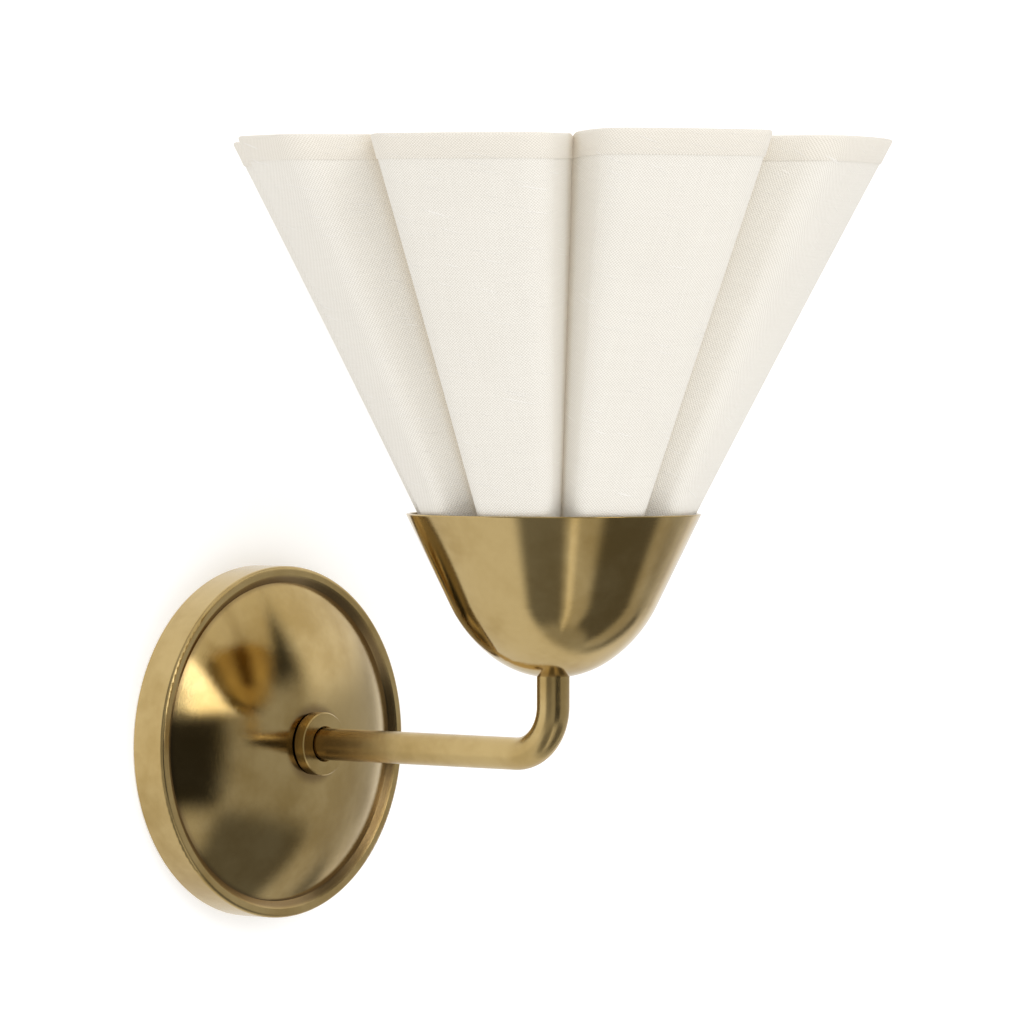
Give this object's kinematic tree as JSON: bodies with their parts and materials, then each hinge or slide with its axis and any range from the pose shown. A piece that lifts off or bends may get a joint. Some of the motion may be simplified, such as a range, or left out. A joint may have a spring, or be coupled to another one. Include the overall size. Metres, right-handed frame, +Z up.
{
  "type": "wall light",
  "caption": "Wall light: round spun brass backplate, bent tube arm, bowl cup and an upward lobed linen cone shade round a screw-base bulb.",
  "frame": {"origin": "middle of the bracket's slot pattern, on the wall plane", "axes": "+Z up, +X to the right along the wall, -Y out of the wall into the room"},
  "size_m": [0.258, 0.286, 0.307],
  "materials": {
    "aged_brass": "spun and lacquered aged brass, satin with circular brushing",
    "plain_brass": "turned brass, bright",
    "zinc_steel": "zinc-plated steel",
    "nickel": "nickel plate",
    "green_screw": "green earth screw",
    "white_plastic": "moulded nylon",
    "black_phenolic": "moulded phenolic, matt black",
    "ceramic": "glazed ceramic",
    "brown_lead": "PVC insulation",
    "blue_lead": "PVC insulation",
    "green_lead": "PVC insulation",
    "linen": "plain-weave linen with slubs",
    "white_liner": "thin white film",
    "white_wire": "white epoxy-coated steel wire",
    "opal_glass": "opal frosted glass",
    "black_glass": "black vitrite glass",
    "solder": "tinned contact"
  },
  "bodies": {
    "fixture": {"wall_bracket": "zinc_steel", "bracket_nut": "zinc_steel", "bracket_washer": "zinc_steel", "wall_nipple": "plain_brass", "wall_lead_bush": "white_plastic", "bracket_earth_screw": "green_screw", "earth_ring_tag": "nickel", "terminal_block": "white_plastic", "terminal_inserts": "plain_brass", "terminal_pinch_screws": "zinc_steel", "terminal_block_screw": "zinc_steel", "live_lead": "brown_lead", "neutral_lead": "blue_lead", "earth_lead": "green_lead", "arm": "aged_brass", "cup": "aged_brass", "cup_nipple": "plain_brass", "cup_nut": "plain_brass", "cup_washer": "zinc_steel", "holder_lead_bush": "white_plastic", "lampholder_base": "black_phenolic", "lampholder_skirt": "black_phenolic", "lampholder_core": "ceramic", "lampholder_screw_shell": "plain_brass", "lampholder_centre_contact": "plain_brass", "lampholder_terminals": "plain_brass", "lampholder_terminal_screws": "zinc_steel"},
    "backplate": {"backplate": "aged_brass"},
    "collar": {"collar": "aged_brass", "collar_grub_screw": "zinc_steel"},
    "shade": {"shade_linen": "linen", "shade_hem": "linen", "shade_liner": "white_liner", "shade_top_wire": "white_wire", "shade_bottom_wire": "white_wire", "shade_ribs": "white_wire", "spider_arms": "white_wire", "fitter_ring": "white_wire"},
    "shade_ring": {"shade_ring": "black_phenolic"},
    "bulb": {"bulb_glass": "opal_glass", "bulb_cap": "nickel", "bulb_insulator": "black_glass", "bulb_tip_contact": "solder"}
  },
  "joints": [
    {"name": "backplate_slide", "type": "slide", "parent": "fixture", "child": "backplate", "axis": [0, -1, 0], "range_m": [0, 0.075]},
    {"name": "collar_slide", "type": "slide", "parent": "backplate", "child": "collar", "axis": [0, -1, 0], "range_m": [0, 0.02]},
    {"name": "shade_lift", "type": "slide", "parent": "fixture", "child": "shade", "axis": [0, 0, 1], "range_m": [0, 0.12]},
    {"name": "ring_turn", "type": "hinge", "parent": "shade", "child": "shade_ring", "pos_m": [0, -0.157, 0.08], "axis": [0, 0, 1], "continuous": true},
    {"name": "bulb_out", "type": "slide", "parent": "fixture", "child": "bulb", "axis": [0, 0, 1], "range_m": [0, 0.18]}
  ]
}
